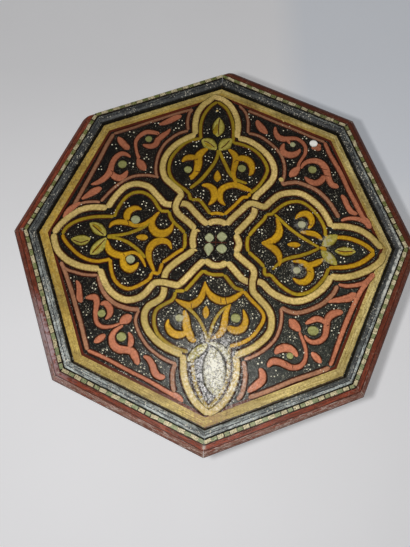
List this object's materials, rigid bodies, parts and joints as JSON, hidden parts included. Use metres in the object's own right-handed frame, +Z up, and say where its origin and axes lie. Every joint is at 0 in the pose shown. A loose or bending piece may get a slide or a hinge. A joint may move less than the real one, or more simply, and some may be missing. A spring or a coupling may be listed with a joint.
{
  "type": "octagonal painted wooden stool",
  "caption": "Octagonal painted wooden stool: recessed plank top with lip, bead and outer moulding, on a body of mitred side panels with horseshoe arches.",
  "frame": {"origin": "on the floor, below the middle of the eight-sided top", "axes": "+Z up; +X points out of side 1, and the sides follow anticlockwise seen from above, so two flats face X and two face Y"},
  "size_m": [0.43, 0.43, 0.45],
  "materials": {
    "painted_field": "gloss",
    "checked_lip": "satin",
    "black_bead": "gloss",
    "red_moulding": "satin",
    "painted_panel": "satin",
    "bare_cedar": "matte",
    "iron_nail": "matte",
    "cream_paint": "satin",
    "mustard_paint": "satin",
    "salmon_paint": "satin",
    "olive_paint": "satin",
    "pale_green_paint": "satin",
    "maroon_paint": "satin"
  },
  "bodies": {
    "root": {"batten_left": "bare_cedar", "batten_right": "bare_cedar", "bead_strip_1": "black_bead", "bead_strip_2": "black_bead", "bead_strip_3": "black_bead", "bead_strip_4": "black_bead", "bead_strip_5": "black_bead", "bead_strip_6": "black_bead", "bead_strip_7": "black_bead", "bead_strip_8": "black_bead", "corner_block_1": "bare_cedar", "corner_block_2": "bare_cedar", "corner_block_3": "bare_cedar", "corner_block_4": "bare_cedar", "corner_block_5": "bare_cedar", "corner_block_6": "bare_cedar", "corner_block_7": "bare_cedar", "corner_block_8": "bare_cedar", "lip_strip_1": "checked_lip", "lip_strip_2": "checked_lip", "lip_strip_3": "checked_lip", "lip_strip_4": "checked_lip", "lip_strip_5": "checked_lip", "lip_strip_6": "checked_lip", "lip_strip_7": "checked_lip", "lip_strip_8": "checked_lip", "moulding_nail_1": "iron_nail", "moulding_nail_2": "iron_nail", "moulding_nail_3": "iron_nail", "moulding_nail_5": "iron_nail", "moulding_nail_6": "iron_nail", "moulding_nail_7": "iron_nail", "moulding_nail_8": "iron_nail", "outer_moulding_1": "red_moulding", "outer_moulding_2": "red_moulding", "outer_moulding_3": "red_moulding", "outer_moulding_5": "red_moulding", "outer_moulding_6": "red_moulding", "outer_moulding_7": "red_moulding", "outer_moulding_8": "red_moulding", "side_panel_1": "painted_panel", "side_panel_2": "painted_panel", "side_panel_3": "painted_panel", "side_panel_4": "painted_panel", "side_panel_5": "painted_panel", "side_panel_6": "painted_panel", "side_panel_7": "painted_panel", "side_panel_8": "painted_panel", "top_board_back": "painted_field", "top_board_front": "painted_field", "top_board_middle": "painted_field", "top_nail_1": "iron_nail", "top_nail_2": "iron_nail", "top_nail_3": "iron_nail", "top_nail_4": "iron_nail", "top_nail_5": "iron_nail", "top_nail_6": "iron_nail", "top_nail_7": "iron_nail", "top_nail_8": "iron_nail"}
  },
  "joints": []
}
